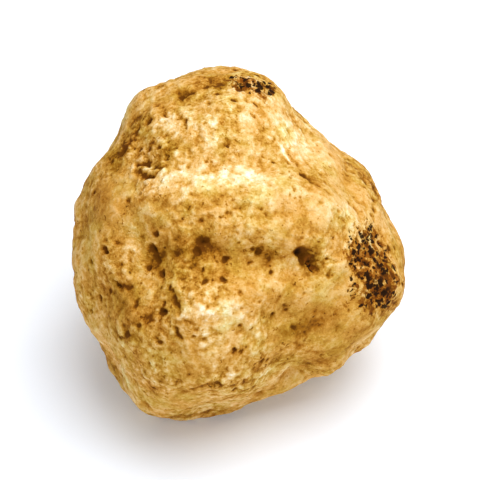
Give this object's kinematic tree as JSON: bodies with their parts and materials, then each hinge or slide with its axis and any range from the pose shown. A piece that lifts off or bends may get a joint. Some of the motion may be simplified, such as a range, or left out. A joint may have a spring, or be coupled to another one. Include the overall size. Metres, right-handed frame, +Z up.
{
  "type": "white truffle",
  "caption": "Whole white truffle: a lumpy three-cornered nugget with a blunt crown, a brow over a shallow furrow, a full chin, small pits and a flat spot to rest on.",
  "frame": {"origin": "on the surface that the truffle rests on, under the middle of its bounding box", "axes": "+Z up, -Y towards the side that its face and chin look to, +X to the right of somebody looking at that face"},
  "size_m": [0.0558, 0.0546, 0.0504],
  "materials": {
    "truffle_skin": "matte ochre skin, finely pitted, with paler rubbed crests and two brown scabs"
  },
  "bodies": {
    "root": {"truffle": "truffle_skin"}
  },
  "joints": []
}
